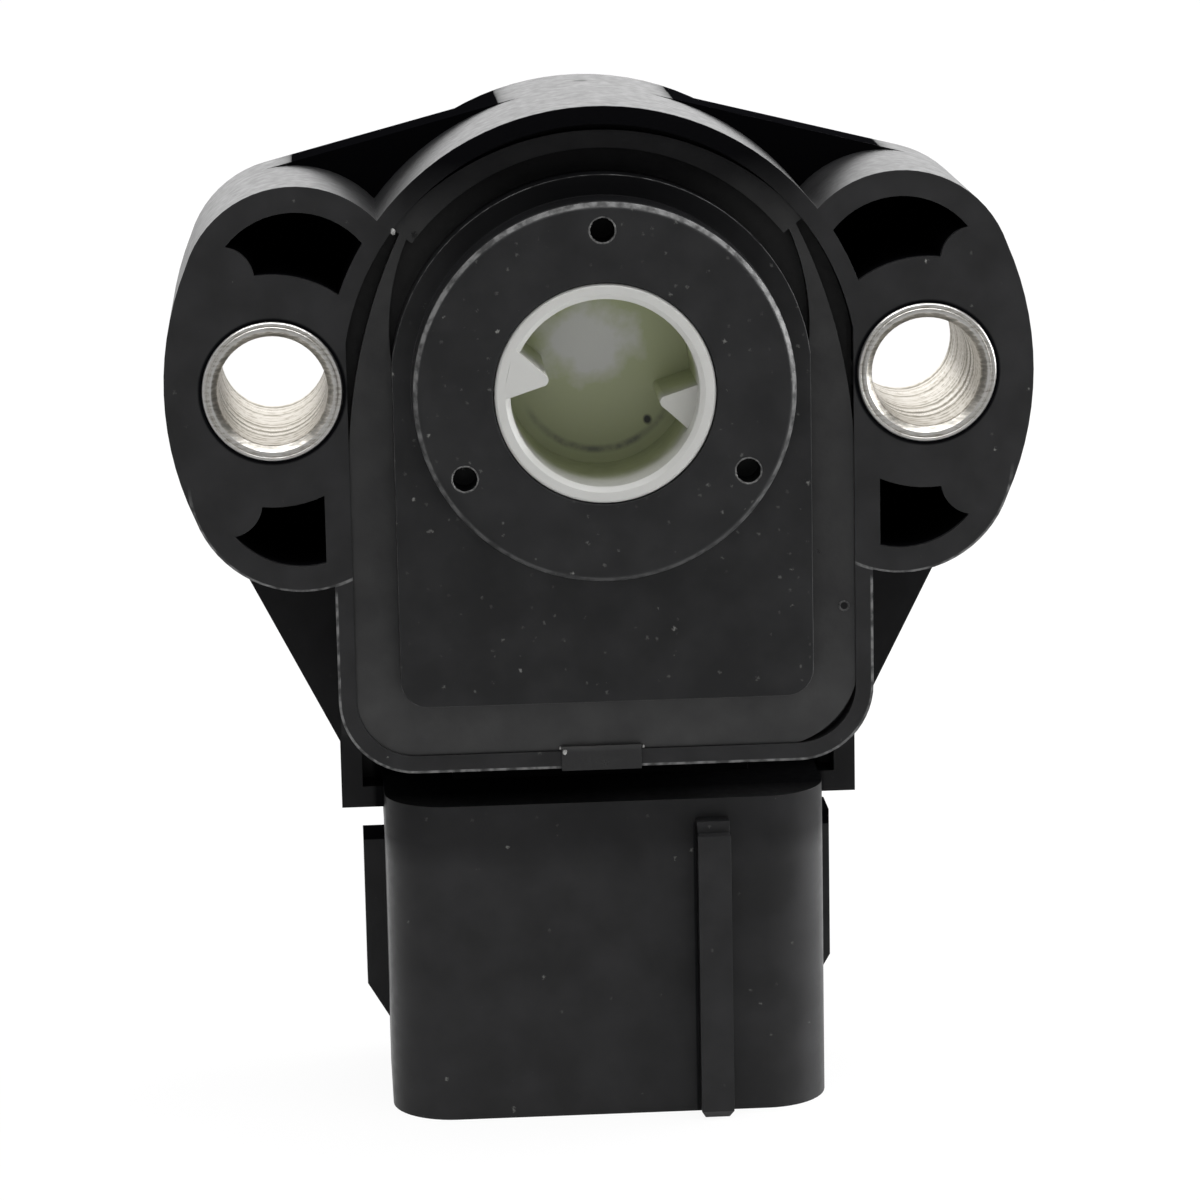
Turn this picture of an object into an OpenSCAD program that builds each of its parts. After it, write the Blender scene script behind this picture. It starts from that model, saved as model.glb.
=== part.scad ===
// Throttle position sensor, a rotary potentiometer for a throttle shaft.
// Origin: on the rotor axis, in the plane of the mounting face.
// -Y looks at the throttle body, +Z is up and the plug enters from below, along +Z.
// The pieces are drawn at rest, with the return spring holding the rotor on its stop.

/* [Mounting] */
// Distance between the two screw centres
hole_spacing = 38; // [36:0.5:42]
// Radius of the screw clearance hole in a compression limiter
limiter_bore_r = 3.2; // [2.6:0.05:3.3]
// Outer radius of a compression limiter
limiter_r = 4.08; // [3.9:0.02:4.4]
// Length of a compression limiter, which is the clamped thickness
limiter_len = 14; // [13:0.1:15]
// How far a limiter stands proud of the plastic at each end
limiter_proud = 0.1; // [0.05:0.05:0.2]
// Chamfer at the mouth of a limiter
limiter_chamfer = 0.35; // [0.1:0.05:0.4]
// Depth of the fine facing groove in a limiter's end
limiter_groove = 0.08; // [0.04:0.02:0.12]

/* [Ears] */
// Radius of an ear's outer corners
ear_r = 6.55; // [6.3:0.05:6.8]
// Radius of an ear's long outer side
ear_side_r = 18.5; // [16:0.5:22]
// Height of the centre of an ear's outer corner above or below the screw
ear_rise = 5.3; // [5.1:0.1:5.5]
// How far the ear's outline is set in from the screw centre
ear_inset = 1.5; // [1.3:0.1:1.7]
// Thickness of the wall round the pockets
ear_wall = 1.5; // [1.3:0.05:1.7]
// Radius of the boss that holds a limiter
limiter_boss_r = 6.8; // [6:0.05:7]
// Radius of the small core-pin pad in a pocket
pad_r = 2; // [1.6:0.1:2.2]
// Distance of that pad beyond the screw centre, sideways
pad_out = 2.8; // [2.5:0.1:3]
// Height of that pad above or below the screw centre
pad_rise = 6.5; // [6.2:0.1:6.8]
// Thickness of the floor behind the pockets
pocket_floor = 1.7; // [1.2:0.1:2.4]

/* [Body] */
// Radius of the body's round top
body_r = 16; // [15.9:0.05:16.3]
// Half the width of the body between its straight sides
body_half_w = 15.75; // [15.5:0.05:15.85]
// Distance from the rotor axis down to the body's bottom face
body_drop = 23; // [22.4:0.1:23.4]
// Radius of the body's two lower corners
body_corner = 4.5; // [3.5:0.1:5.5]
// Thickness of the rim round the potting
rim_wall = 1.05; // [0.9:0.05:1.2]
// Height of the rear face behind the mounting plane
body_back = 18; // [17.6:0.1:19]
// Thickness of the back wall behind the element board
back_wall = 3.6; // [3.3:0.1:3.9]

/* [Flange] */
// Thickness of the rear flange that joins the ears
flange_t = 3.8; // [3.2:0.1:4.6]
// Distance from the rotor axis down to the flange's bottom edge
flange_drop = 27.6; // [27:0.1:28.2]
// Where the sloping web meets the flange's straight side
web_drop = 23.4; // [22.6:0.1:24]
// Thickness of the wall round the flange's lower pocket
flange_wall = 1.3; // [1:0.1:1.8]

/* [Cover] */
// Radius of the cover plate's round top
cover_r = 12.2; // [12:0.05:12.6]
// Half the width of the cover plate
cover_half_w = 12.1; // [11.9:0.05:12.4]
// Distance from the rotor axis down to the cover plate's bottom edge
cover_drop = 18.8; // [18.4:0.1:19.2]
// Radius of the cover plate's lower corners
cover_corner = 1.6; // [1.2:0.1:2.5]
// How far the cover plate stands in front of the mounting plane
cover_proud = 0.95; // [0.6:0.05:1.1]
// Thickness of the cover plate
cover_t = 2.6; // [2.4:0.1:2.8]
// Radius of the pilot boss that centres the sensor
boss_r = 11; // [10.6:0.05:11.4]
// How far the pilot boss reaches in front of the mounting plane
boss_proud = 4; // [3.4:0.1:4.6]
// Chamfer at the front edge of the pilot boss
boss_chamfer = 0.35; // [0.2:0.05:0.6]
// Radius of the three blind ejector holes in the boss
boss_hole_r = 0.78; // [0.5:0.02:0.9]
// Depth of those holes
boss_hole_depth = 2.2; // [1.5:0.1:2.8]
// Radius of the circle on which those holes lie
boss_hole_circle = 9.4; // [8.8:0.05:9.5]
// Width of the ledge in the housing that carries the cover plate
ledge_w = 0.9; // [0.6:0.05:1.2]

/* [Potting] */
// How far the potting lies behind the mounting plane
potting_sunk = 0.15; // [0.05:0.05:0.3]
// Width of the low gutter between the potting and the cover's round top
gutter_w = 1.4; // [1.1:0.05:1.6]
// Depth of that gutter, and of the gaps round the potting, below its face
gutter_depth = 1; // [0.6:0.05:1.1]
// Radius of the gutter's edge where it narrows beside an ear
gutter_edge_r = 14; // [12:0.5:18]
// Height above the rotor axis at which the gutter ends beside the cover
gutter_end = 1.6; // [1:0.2:2.4]
// Angle of the potting's narrow corner beside an ear, above the horizontal
corner_deg = 38; // [34:1:40]
// Width of the wall's gap and of the potting together at that corner
corner_w = 0.95; // [0.8:0.05:1.05]
// Gap at that corner where the potting has shrunk from the wall
corner_gap = 0.44; // [0.3:0.02:0.5]
// Radius of the potting's edge along the gap beside an ear
side_edge_r = 33; // [30:0.5:36]
// Distance from the rotor axis down to the end of that gap's arc
side_edge_drop = 7.5; // [6.5:0.1:8.5]
// Radius of the potting's edge along the thin gap over the top
top_edge_r = 15.8; // [15.4:0.1:16.2]
// Radius of the potting's edge along the thin gap at its lower right corner
low_edge_r = 5.2; // [4.6:0.1:6]
// Thickness of the run of potting over the lower rim
run_t = 0.15; // [0.1:0.05:0.2]
// Width of that run
run_w = 4.7; // [3:0.1:6]
// Place of that run to the left of the middle
run_left = 0.4; // [0:0.1:2]
// Overlap of that run on the potting inside the rim
run_lap = 0.3; // [0.2:0.05:0.5]
// How far the run hangs below the rim
run_hang = 0.12; // [0.06:0.02:0.2]

/* [Rotor] */
// Outer radius of the rotor's drive sleeve
sleeve_r = 6.35; // [6:0.05:6.5]
// Inner radius of the drive socket
socket_r = 5.43; // [5.1:0.02:5.6]
// Depth of the drive socket
socket_depth = 7.7; // [6.6:0.1:8]
// Lead-in chamfer at the mouth of the drive socket
socket_chamfer = 0.3; // [0.2:0.05:0.4]
// Chamfer at the drive sleeve's outer edge
sleeve_chamfer = 0.15; // [0.1:0.05:0.2]
// Radial running clearance of the rotor in its bearings
running_gap = 0.06; // [0.02:0.01:0.1]
// Distance from the axis to the point of a drive tab
tab_tip_r = 3.36; // [3:0.05:4]
// Radius of that point
tab_round = 0.35; // [0.25:0.05:0.45]
// Angle of a drive tab's point, counter-clockwise from the horizontal
tab_tip_deg = 166; // [162:1:169]
// Angle where the tab's long flank meets the sleeve
tab_long_deg = 182; // [178:1:188]
// Angle where the tab's short flank meets the sleeve
tab_short_deg = 151.5; // [148:0.5:154]
// How much deeper the second tab starts
tab_second_step = 1.9; // [1:0.1:2.8]
// Radius of the rotor's flange
rotor_flange_r = 9.4; // [8.8:0.1:9.6]
// Thickness of the rotor's flange
rotor_flange_t = 1.5; // [1.2:0.1:1.6]
// Radius of the rotor's hub, inside the return spring
hub_r = 6; // [5.6:0.1:6.2]
// Radius of the rotor's rear journal
journal_r = 2.5; // [2.2:0.1:2.7]
// Play along the axis between the rotor and its washers
end_play = 0.1; // [0.05:0.01:0.15]
// Travel of the rotor between its stops, in degrees
travel_deg = 100; // [90:1:110]
// Half the angle that the stop lug on the rotor takes
lug_half_deg = 8; // [6:0.5:10]
// Reach of the stop lug beyond the rotor's flange
lug_reach = 1.3; // [1:0.1:1.4]

/* [Springs and washers] */
// Thickness of the thrust washer
thrust_t = 0.4; // [0.3:0.05:0.5]
// Width of the thrust washer's ring
thrust_w = 2.45; // [2:0.05:2.7]
// Clearance between the thrust washer and the drive sleeve
thrust_clear = 0.3; // [0.2:0.05:0.4]
// Wire diameter of the return spring
spring_wire = 0.8; // [0.5:0.05:0.9]
// Clearance between the return spring and the hub
spring_clear = 0.7; // [0.5:0.05:0.8]
// Turns of the return spring
spring_turns = 4; // [3:1:5]
// Rise of one turn over the wire's own diameter
spring_space = 0.12; // [0.08:0.02:0.16]
// Thickness of the wave washer's strip
wave_t = 0.25; // [0.2:0.05:0.3]
// Height of the wave washer's waves
wave_rise = 0.45; // [0.3:0.05:0.5]

/* [Element] */
// Thickness of the element board
board_t = 1; // [0.8:0.1:1.2]
// Clearance between the element board and the rotor's stops
board_clear = 0.35; // [0.2:0.05:0.5]
// Distance from the rotor axis down to the board's bottom edge
board_drop = 15.2; // [14.5:0.1:16]
// Thickness of the printed tracks
track_t = 0.12; // [0.08:0.02:0.16]
// Inner radius of the collector track
collector_in = 4.7; // [4.6:0.05:4.9]
// Inner radius of the resistor track
resistor_in = 7; // [6.8:0.05:7.2]
// Width of a track
track_w = 1.2; // [1:0.05:1.3]
// Thickness of the wiper's sheet
wiper_t = 0.2; // [0.15:0.05:0.25]
// Width of one wiper finger
finger_w = 0.4; // [0.3:0.05:0.45]
// Distance from the wiper's middle line to a finger's contact point
finger_reach = 2; // [1.7:0.05:2.1]
// Distance from the hub's end to the tracks, which the wiper spans
wiper_gap = 1.85; // [1.6:0.05:2.1]

/* [Plug shroud] */
// Half the width of the shroud
shroud_half_w = 13.2; // [12.8:0.05:13.5]
// Height of the shroud's front face behind the mounting plane
shroud_front = 1.9; // [1.5:0.1:2.3]
// Distance from the rotor axis down to the shroud's mouth
shroud_drop = 45.1; // [44:0.1:46]
// Distance from the rotor axis down to the shroud's closed end
shroud_top_drop = 25.6; // [25.2:0.1:25.9]
// Corner radius of the shroud
shroud_corner = 3.8; // [3.2:0.1:4.2]
// Wall of the shroud
shroud_wall = 1.4; // [1.1:0.05:1.7]
// Thickness of the shroud's closed end
shroud_end_t = 3; // [2.6:0.1:3.4]
// Width of the key rib on the shroud's front
key_w = 1.95; // [1.6:0.05:2.3]
// Distance of the key rib's centre from the middle
key_x = 6.2; // [5:0.1:7.4]
// How far the key rib stands proud of the shroud
key_proud = 1.8; // [1.2:0.1:1.9]
// Height of the low step at the key rib's top
key_step_h = 0.7; // [0.4:0.05:1]
// How far that step stands proud of the shroud
key_step_proud = 1; // [0.6:0.1:1.2]
// Bevel at the key rib's lower end
key_bevel = 0.5; // [0.3:0.05:0.8]
// How far a side rail stands proud of the shroud
rail_proud = 1.3; // [1:0.1:1.7]
// Thickness of a side rail
rail_t = 3; // [2.4:0.1:3.6]
// Distance from the shroud's back to a side rail
rail_back = 1.4; // [1:0.1:1.8]
// Distance from the rotor axis down to the top of a side rail
rail_top_drop = 30.5; // [29.5:0.1:31.5]
// Length of a side rail
rail_len = 11.6; // [10:0.1:13]
// Length of the taper at a side rail's lower end
rail_taper = 2.2; // [1.4:0.1:3]
// How much higher the right-hand rail sits than the left-hand one
rail_rise = 0.8; // [0.2:0.1:1.4]

/* [Terminals] */
// Distance between two terminals
terminal_pitch = 6; // [5.4:0.1:6.4]
// Width of a terminal's blade
blade_w = 2.3; // [1.8:0.1:2.8]
// Thickness of a terminal's blade
blade_t = 0.64; // [0.5:0.02:0.8]
// Distance from a blade's point to the shroud's mouth
blade_sunk = 4.2; // [3:0.1:6]
// Length of the taper at a blade's point
blade_taper = 1; // [0.6:0.1:1.4]
// How far a blade's other end stands above the floor of the well
blade_reach = 2.6; // [2.2:0.1:3]
// Thickness of the potting round the blades in the shroud's end
seal_t = 0.9; // [0.6:0.1:1.2]
// Width of that potting beyond the outer blades
seal_side = 0.8; // [0.5:0.1:1.1]
// Height of that potting in front of a blade and behind it
seal_reach = 1.2; // [0.8:0.1:1.5]
// Thickness of the strip that joins a blade to the board
clip_t = 0.3; // [0.2:0.02:0.4]
// Width of that strip
clip_w = 1.8; // [1.4:0.1:2.2]

/* [Hidden] */
$fn = 96;
// Thin slice by which a cutter runs past the face it cuts
past = 0.5;
// Lap of an ear's long side behind its corners, so that their arcs cross
side_lap = 0.04;
// Lap of a drive tab's flanks behind its round point, for the same reason
point_lap = 0.01;
// Reach of the thin gap over the top to both sides of the middle, in degrees
top_gap_deg = 50;
// Where the edge along that gap meets the wall, which it crosses before the reach ends
top_arc_deg = 45;
hole_x = hole_spacing / 2;
ear_front = limiter_proud;
ear_back = limiter_len - limiter_proud;
pocket_back = ear_back - pocket_floor;
flange_front = ear_back - flange_t;
insert_gap = 0.01;
// Gap that keeps two pieces that only touch from sharing a surface
seat_gap = 0.02;

// Places along the rotor axis, from the front
boss_face = -boss_proud;
cover_face = -cover_proud;
cover_back = cover_t - cover_proud;
thrust_back = cover_back + thrust_t;
flange_y = thrust_back + end_play;
flange_end = flange_y + rotor_flange_t;
cavity_floor = body_back - back_wall;
board_front = cavity_floor - board_t;
track_front = board_front - track_t;
socket_end = boss_face + socket_depth;
hub_end = track_front - wiper_gap;

// Housing cavity: a shallow recess for the potting, and the well behind the cover
recess_r = body_r - rim_wall;
recess_half_w = body_half_w - rim_wall;
recess_drop = body_drop - rim_wall;
recess_corner = body_corner - rim_wall;
well_r = cover_r - ledge_w;
well_half_w = cover_half_w - ledge_w;
well_drop = cover_drop - ledge_w;
well_corner = cover_corner - ledge_w;

// Bearings and stops
front_bore_r = sleeve_r + running_gap;
rear_bore_r = journal_r + running_gap;
bearing_wall = 1.35;
bearing_r = rear_bore_r + bearing_wall;
bearing_front = hub_end + wave_t + wave_rise + 2 * seat_gap;
journal_depth = 1.7;
bearing_end = cavity_floor + journal_depth;
lug_r = rotor_flange_r + lug_reach;
lug_rest_deg = 90 - travel_deg / 2;
stop_gap_deg = 1;
stop_span_deg = 9;
stop_lap = 0.75;
stop_inner_r = lug_r - stop_lap;
board_r = stop_inner_r - board_clear;

// Return spring
spring_r = hub_r + spring_clear + spring_wire / 2;
spring_pitch = spring_wire + spring_space;
spring_front = flange_end + 0.15 + spring_wire / 2;
spring_hole_r = spring_wire / 2 + 0.1;
leg_r = (stop_inner_r + well_r) / 2;
leg_deg = 180 - lug_rest_deg + lug_half_deg + stop_gap_deg
    - asin((spring_wire / 2 + 0.05) / leg_r);
spring_end_deg = leg_deg - acos(spring_r / leg_r);
coil_deg = 360 * spring_turns + spring_end_deg - 90;
spring_back = spring_front + spring_pitch * coil_deg / 360;

// Element and wiper
wiper_rest_deg = 60;
track_from = wiper_rest_deg - 36;
track_to = wiper_rest_deg + travel_deg;
wiper_in = bearing_r + 0.25;
wiper_out = hub_r - 0.2;
wiper_pin_r = 0.35;
wiper_pin_circle = (wiper_in + wiper_out) / 2;
finger_start = 0.3 - finger_reach;
pad_h = 2.4;
pad_bottom = board_drop - 0.4;

// Shroud and terminals
shroud_back = body_back;
shroud_mid = (shroud_front + shroud_back) / 2;
inner_half_w = shroud_half_w - shroud_wall;
inner_front = shroud_front + shroud_wall;
inner_back = shroud_back - shroud_wall;
inner_corner = shroud_corner - shroud_wall;
inner_end_drop = shroud_top_drop + shroud_end_t;
blade_tip_drop = shroud_drop - blade_sunk;
blade_top_drop = well_drop - blade_reach;
seal_half_w = terminal_pitch + blade_w / 2 + seal_side;
seal_half_t = blade_t / 2 + seal_reach;
key_front = shroud_front - key_proud;
key_top_drop = shroud_top_drop + 1.2;

plastic = [0.15, 0.15, 0.155];
cover_plastic = [0.17, 0.17, 0.175];
potting_grey = [0.21, 0.21, 0.215];
natural_resin = [0.83, 0.83, 0.8];
plated_steel = [0.72, 0.71, 0.69];
spring_steel = [0.6, 0.6, 0.62];
copper_alloy = [0.78, 0.66, 0.42];
board_tan = [0.72, 0.66, 0.52];
carbon_black = [0.08, 0.08, 0.09];
silver_ink = [0.74, 0.74, 0.72];

// A flat outline in X and Z, given a depth from one place on the rotor axis to another
module depth(from, to) {
    translate([0, to, 0]) rotate([90, 0, 0]) linear_extrude(to - from) children();
}

// A flat outline in X and Y, given a height from one drop below the axis to another
module drop(from, to) {
    translate([0, 0, -to]) linear_extrude(to - from) children();
}

// A profile in radius and height, turned about the rotor axis; its height runs along +Y
module turned() {
    rotate([-90, 0, 0]) rotate_extrude() children();
}

module both_sides() {
    for (side = [-1, 1]) scale_x(side) children();
}

// The left or right hand of a shape that is drawn for the right
module scale_x(side) {
    if (side > 0) children();
    else mirror([1, 0, 0]) children();
}

// The body's outline: a round top, straight sides and two round lower corners
module d_shape(r, half_w, bottom, corner) {
    intersection() {
        circle(r);
        translate([-half_w, -r]) square([2 * half_w, 2 * r]);
    }
    translate([-half_w, corner - bottom]) square([2 * half_w, bottom - corner]);
    translate([corner - half_w, -bottom]) square([2 * (half_w - corner), bottom]);
    for (side = [-1, 1]) translate([side * (half_w - corner), corner - bottom]) circle(corner);
}

// The part of a ring between two angles, from its centre out to a far radius
module sector(from, to, far) {
    steps = 6;
    polygon(concat([[0, 0]], [for (i = [0:steps])
        let (a = from + (to - from) * i / steps) 1.2 * far * [cos(a), sin(a)]]));
}

module ring_sector(inner, outer, from, to) {
    intersection() {
        difference() {
            circle(outer);
            circle(inner);
        }
        sector(from, to, outer);
    }
}

// The middle of the arc from a to b, which has a given radius and bulges away from the axis
function arc_centre(a, b, r) =
    let (d = b - a, l = norm(d))
    (a + b) / 2 + sqrt(r * r - l * l / 4) * [d[1], -d[0]] / l;

// Direction from a circle's centre to the point where a line from p touches the circle
function touch_deg(c, r, p, side) =
    atan2(p[1] - c[1], p[0] - c[0]) + side * acos(r / norm(p - c));

// The right ear's outline: two round corners joined by a long outer side of larger radius
module ear_outline(r) {
    x = hole_x - ear_inset;
    side_r = ear_side_r - ear_r + r;
    back = sqrt(pow(ear_side_r - ear_r, 2) - ear_rise * ear_rise) + side_lap;
    half_deg = atan2(ear_rise, back);
    for (side = [-1, 1]) translate([x, side * ear_rise]) circle(r);
    translate([x - r, -ear_rise]) square([r, 2 * ear_rise]);
    translate([x - back, 0]) intersection() {
        circle(side_r);
        sector(-half_deg, half_deg, side_r);
    }
}

// The two deep pockets that lighten the right ear
module ear_pockets() {
    difference() {
        ear_outline(ear_r - ear_wall);
        translate([hole_x, 0]) circle(limiter_boss_r);
        circle(body_r);
        translate([0, -body_drop]) square([body_half_w + ledge_w / 2, body_drop]);
        for (side = [-1, 1]) translate([hole_x + pad_out, side * pad_rise]) circle(pad_r);
        translate([hole_x + pad_out, -2 * ear_r]) square([2 * ear_r, 4 * ear_r]);
    }
}

// Direction of the line that touches the ear's upper corner and the body's round top
function top_normal() =
    let (c = [hole_x - ear_inset, ear_rise], d = norm(c))
    atan2(c[1], c[0]) + acos((body_r - ear_r) / d);

// The rear flange's outline on the right, with a web above and below the ear
module flange_outline() {
    c = [hole_x - ear_inset, ear_rise];
    low = [hole_x - ear_inset, -ear_rise];
    top = top_normal();
    web = touch_deg(low, ear_r, [body_half_w, -web_drop], 1);
    polygon([[0, 0], body_r * [cos(top), sin(top)], c + ear_r * [cos(top), sin(top)],
        c + [ear_r, 0], low + [ear_r, 0], low + ear_r * [cos(web), sin(web)],
        [body_half_w, -web_drop], [body_half_w, -flange_drop], [0, -flange_drop]]);
}

// The shroud's section, as a square with four round corners
module shroud_section(half_w, front, back, corner) {
    translate([-half_w, front + corner]) square([2 * half_w, back - front - 2 * corner]);
    translate([corner - half_w, front]) square([2 * (half_w - corner), back - front]);
    for (side = [-1, 1], y = [front + corner, back - corner])
        translate([side * (half_w - corner), y]) circle(corner);
}

// A side rail, drawn as its edge profile, with a taper at the lower end
module side_rail(rise) {
    inner = shroud_half_w - shroud_wall / 2;
    outer = shroud_half_w + rail_proud;
    low = rail_top_drop + rail_len;
    translate([0, 0, rise]) depth(shroud_back - rail_back - rail_t, shroud_back - rail_back)
        polygon([[inner, -rail_top_drop], [outer, -rail_top_drop], [outer, rail_taper - low],
            [shroud_half_w, -low], [inner, -low]]);
}

// The key rib on the shroud's front, with a low step at its top and a bevelled lower end
module key_rib() {
    root = shroud_front + shroud_wall / 2;
    half = key_w / 2;
    intersection() {
        translate([key_x - half, 0, 0]) rotate([90, 0, 90]) linear_extrude(key_w)
            polygon([[root, -key_top_drop], [shroud_front - key_step_proud, -key_top_drop],
                [shroud_front - key_step_proud, -key_top_drop - key_step_h],
                [key_front, -key_top_drop - key_step_h], [key_front, key_bevel - shroud_drop],
                [key_front + key_bevel, -shroud_drop], [root, -shroud_drop]]);
        depth(key_front, root)
            polygon([[key_x - half, -key_top_drop], [key_x + half, -key_top_drop],
                [key_x + half, key_bevel - shroud_drop],
                [key_x + half - key_bevel / 2, -shroud_drop],
                [key_x - half + key_bevel / 2, -shroud_drop],
                [key_x - half, key_bevel - shroud_drop]]);
    }
}

module housing() {
    color(plastic) difference() {
        union() {
            depth(ear_front, body_back)
                d_shape(body_r, body_half_w, body_drop, body_corner);
            both_sides() {
                depth(ear_front, ear_back) difference() {
                    ear_outline(ear_r);
                    ear_pockets();
                }
                depth(pocket_back, ear_back) ear_pockets();
                depth(flange_front, ear_back) difference() {
                    flange_outline();
                    ear_outline(ear_r - ear_wall);
                }
            }
            side_rail(rail_rise);
            scale_x(-1) side_rail(0);
            drop(shroud_top_drop, shroud_drop)
                shroud_section(shroud_half_w, shroud_front, shroud_back, shroud_corner);
            depth(flange_front, body_back)
                neck_outline(shroud_half_w);
            depth(shroud_mid - seal_half_t, body_back)
                neck_outline(seal_half_w + rim_wall);
            key_rib();
        }
        depth(ear_front - past, cover_back)
            d_shape(recess_r, recess_half_w, recess_drop, recess_corner);
        difference() {
            depth(cover_back - past, cavity_floor)
                d_shape(well_r, well_half_w, well_drop, well_corner);
            rotor_stops();
            rear_bearing();
        }
        turned() square([rear_bore_r, bearing_end]);
        both_sides() translate([hole_x, 0, 0]) depth(-past, limiter_len + past)
            circle(limiter_r + insert_gap);
        flange_pocket();
        drop(inner_end_drop, shroud_drop + past)
            shroud_section(inner_half_w, inner_front, inner_back, inner_corner);
        seal_well();
        for (place = [-1, 0, 1]) blade_slot(place);
    }
}

// The neck between the body and the shroud, which the terminals run through
module neck_outline(half_w) {
    translate([-half_w, -shroud_top_drop - shroud_corner])
        square([2 * half_w, shroud_corner + shroud_top_drop - body_drop + body_corner]);
}

// The pocket in the flange between the body and the shroud
module flange_pocket() {
    depth(flange_front - past, pocket_back) difference() {
        translate([flange_wall - body_half_w, flange_wall - flange_drop])
            square([2 * (body_half_w - flange_wall), flange_drop - flange_wall - body_corner]);
        d_shape(body_r, body_half_w, body_drop, body_corner);
        translate([-shroud_half_w, -shroud_drop])
            square([2 * shroud_half_w, shroud_drop - shroud_top_drop]);
        neck_outline(seal_half_w + rim_wall);
    }
}

// Two stops in the well, against which the rotor's lug comes to rest
module rotor_stops() {
    near = lug_half_deg + stop_gap_deg;
    depth(cover_back + end_play, cavity_floor) {
        ring_sector(stop_inner_r, well_r + past,
            lug_rest_deg - near - stop_span_deg, lug_rest_deg - near);
        ring_sector(stop_inner_r, well_r + past,
            180 - lug_rest_deg + near, 180 - lug_rest_deg + near + stop_span_deg);
    }
}

// The boss in the back wall that carries the rotor's rear journal
module rear_bearing() {
    turned() translate([0, bearing_front]) square([bearing_r, bearing_end - bearing_front]);
}

module seal_well() {
    translate([-seal_half_w, shroud_mid - seal_half_t, -inner_end_drop])
        cube([2 * seal_half_w, 2 * seal_half_t, seal_t]);
}

// The slot through the housing wall that one terminal is moulded into
module blade_slot(place) {
    translate([place * terminal_pitch - blade_w / 2, shroud_mid - blade_t / 2, -inner_end_drop])
        cube([blade_w, blade_t, inner_end_drop - blade_top_drop]);
}

module limiter(side) {
    flat = (limiter_r + limiter_bore_r + limiter_chamfer) / 2;
    color(plated_steel) translate([side * hole_x, 0, 0]) turned() difference() {
        polygon([[limiter_bore_r + limiter_chamfer, 0], [limiter_r - 0.1, 0],
            [limiter_r, 0.1], [limiter_r, limiter_len - 0.1], [limiter_r - 0.1, limiter_len],
            [limiter_bore_r + limiter_chamfer, limiter_len],
            [limiter_bore_r, limiter_len - limiter_chamfer], [limiter_bore_r, limiter_chamfer]]);
        polygon([[flat - limiter_groove, -past], [flat - limiter_groove, 0],
            [flat, limiter_groove], [flat + limiter_groove, 0], [flat + limiter_groove, -past]]);
    }
}

module limiter_left() limiter(-1);
module limiter_right() limiter(1);

module cover_plate() {
    color(cover_plastic) difference() {
        union() {
            depth(cover_face, cover_back)
                d_shape(cover_r, cover_half_w, cover_drop, cover_corner);
            turned() polygon([[0, boss_face], [boss_r - boss_chamfer, boss_face],
                [boss_r, boss_face + boss_chamfer], [boss_r, cover_face], [boss_r, cover_back],
                [0, cover_back]]);
        }
        turned() translate([0, boss_face - past])
            square([front_bore_r, cover_back - boss_face + 2 * past]);
        for (a = [90, 210, 330])
            translate([boss_hole_circle * cos(a), 0, boss_hole_circle * sin(a)])
                depth(boss_face - past, boss_face + boss_hole_depth) circle(boss_hole_r);
    }
}

// A point at a distance from the axis, in a direction given as an angle
function at(r, deg) = r * [cos(deg), sin(deg)];

// The low gutter round the cover's top, which narrows to nothing beside each ear
module gutter_outline() {
    outer = cover_r + gutter_w;
    end = [cover_half_w, gutter_end];
    side = arc_centre(at(recess_r - corner_w, corner_deg), end, gutter_edge_r);
    intersection() {
        circle(outer);
        sector(corner_deg, 180 - corner_deg, outer);
    }
    both_ways() intersection() {
        translate(side) circle(gutter_edge_r);
        sector(0, corner_deg, recess_r);
    }
}

// The gaps where the potting has shrunk from the housing: over the top, beside both ears
// and at the lower right corner
module shrink_outline() {
    end = [recess_half_w, -side_edge_drop];
    side = arc_centre(at(recess_r - corner_gap, corner_deg), end, side_edge_r);
    // The arc runs into the wall well above its end, and the cut stops between the two
    stop_deg = 0.7 * atan2(end[1], end[0]);
    top = arc_centre(at(recess_r, 90 + top_arc_deg), at(recess_r, 90 - top_arc_deg),
        top_edge_r);
    corner = [recess_half_w - recess_corner, recess_corner - recess_drop];
    low = arc_centre(corner + [recess_corner, 0], corner - [0, recess_corner], low_edge_r);
    difference() {
        sector(90 - top_gap_deg, 90 + top_gap_deg, recess_r);
        translate(top) circle(top_edge_r);
    }
    both_ways() difference() {
        sector(stop_deg, corner_deg, recess_r);
        translate(side) circle(side_edge_r);
    }
    difference() {
        translate(corner - [past, recess_corner + past]) square(recess_corner + 2 * past);
        translate(low) circle(low_edge_r);
    }
}

// A flat outline on the right, and its mirror image on the left
module both_ways() {
    children();
    mirror([1, 0]) children();
}

// The potting fills the recess round the cover, with a run over the lower rim
module potting_bead() {
    face = ear_front + potting_sunk;
    color(potting_grey) difference() {
        union() {
            depth(face + gutter_depth, cover_back)
                d_shape(recess_r, recess_half_w, recess_drop, recess_corner);
            depth(face, face + gutter_depth) difference() {
                d_shape(recess_r, recess_half_w, recess_drop, recess_corner);
                gutter_outline();
                shrink_outline();
            }
            translate([-run_left - run_w / 2, 0, 0]) {
                depth(ear_front - run_t, ear_front) translate([0, -body_drop - run_hang])
                    square([run_w, run_hang + rim_wall + run_lap]);
                depth(ear_front, face) translate([0, -recess_drop]) square([run_w, run_lap]);
            }
        }
        depth(ear_front - past, cover_back + past)
            d_shape(cover_r, cover_half_w, cover_drop, cover_corner);
    }
}

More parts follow.
